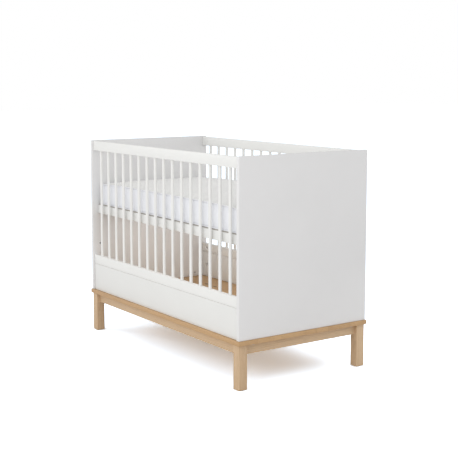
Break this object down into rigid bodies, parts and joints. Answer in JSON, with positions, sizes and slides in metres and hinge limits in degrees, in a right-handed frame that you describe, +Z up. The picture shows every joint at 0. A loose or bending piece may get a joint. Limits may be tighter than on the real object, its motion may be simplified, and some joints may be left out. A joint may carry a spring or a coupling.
{
  "type": "baby crib",
  "caption": "Baby crib with solid white ends, slatted white sides and a wooden leg plinth; the mattress base sits at adjustable heights under a loose mattress.",
  "frame": {"origin": "on the floor, under the middle of the crib", "axes": "+X along the length to the right-hand end panel, +Y from the front slatted side to the back one, +Z up"},
  "size_m": [1.25, 0.663, 0.923],
  "materials": {
    "white_paint": "satin white lacquer on board",
    "plinth_wood": "matt oiled oak",
    "steel_fixings": "zinc plated",
    "mattress_cover": "soft white quilted cover"
  },
  "bodies": {
    "crib_frame": {"end_panel_left": "white_paint", "end_panel_right": "white_paint", "front_top_rail": "white_paint", "front_bottom_rail": "white_paint", "front_fascia": "white_paint", "front_slat_01": "white_paint", "front_slat_02": "white_paint", "front_slat_03": "white_paint", "front_slat_04": "white_paint", "front_slat_05": "white_paint", "front_slat_06": "white_paint", "front_slat_07": "white_paint", "front_slat_08": "white_paint", "front_slat_09": "white_paint", "front_slat_10": "white_paint", "front_slat_11": "white_paint", "front_slat_12": "white_paint", "front_slat_13": "white_paint", "front_slat_14": "white_paint", "front_slat_15": "white_paint", "front_slat_16": "white_paint", "back_top_rail": "white_paint", "back_bottom_rail": "white_paint", "back_fascia": "white_paint", "back_slat_01": "white_paint", "back_slat_02": "white_paint", "back_slat_03": "white_paint", "back_slat_04": "white_paint", "back_slat_05": "white_paint", "back_slat_06": "white_paint", "back_slat_07": "white_paint", "back_slat_08": "white_paint", "back_slat_09": "white_paint", "back_slat_10": "white_paint", "back_slat_11": "white_paint", "back_slat_12": "white_paint", "back_slat_13": "white_paint", "back_slat_14": "white_paint", "back_slat_15": "white_paint", "back_slat_16": "white_paint", "plinth_board": "plinth_wood", "leg_front_left": "plinth_wood", "leg_front_right": "plinth_wood", "leg_back_left": "plinth_wood", "leg_back_right": "plinth_wood", "apron_front": "plinth_wood", "apron_back": "plinth_wood", "apron_left": "plinth_wood", "apron_right": "plinth_wood"},
    "mattress_base": {"base_side_rail_front": "white_paint", "base_side_rail_back": "white_paint", "base_end_rail_left": "white_paint", "base_end_rail_right": "white_paint", "base_centre_rail": "white_paint", "base_board": "white_paint", "base_stud_front_left": "steel_fixings", "base_stud_front_right": "steel_fixings", "base_stud_back_left": "steel_fixings", "base_stud_back_right": "steel_fixings"},
    "mattress": {"mattress": "mattress_cover"}
  },
  "joints": [
    {"name": "base_height", "type": "slide", "parent": "crib_frame", "child": "mattress_base", "axis": [0, 0, 1], "range_m": [-0.335, 0]},
    {"name": "mattress_lift", "type": "slide", "parent": "mattress_base", "child": "mattress", "axis": [0, 0, 1], "range_m": [0, 0.35]}
  ]
}
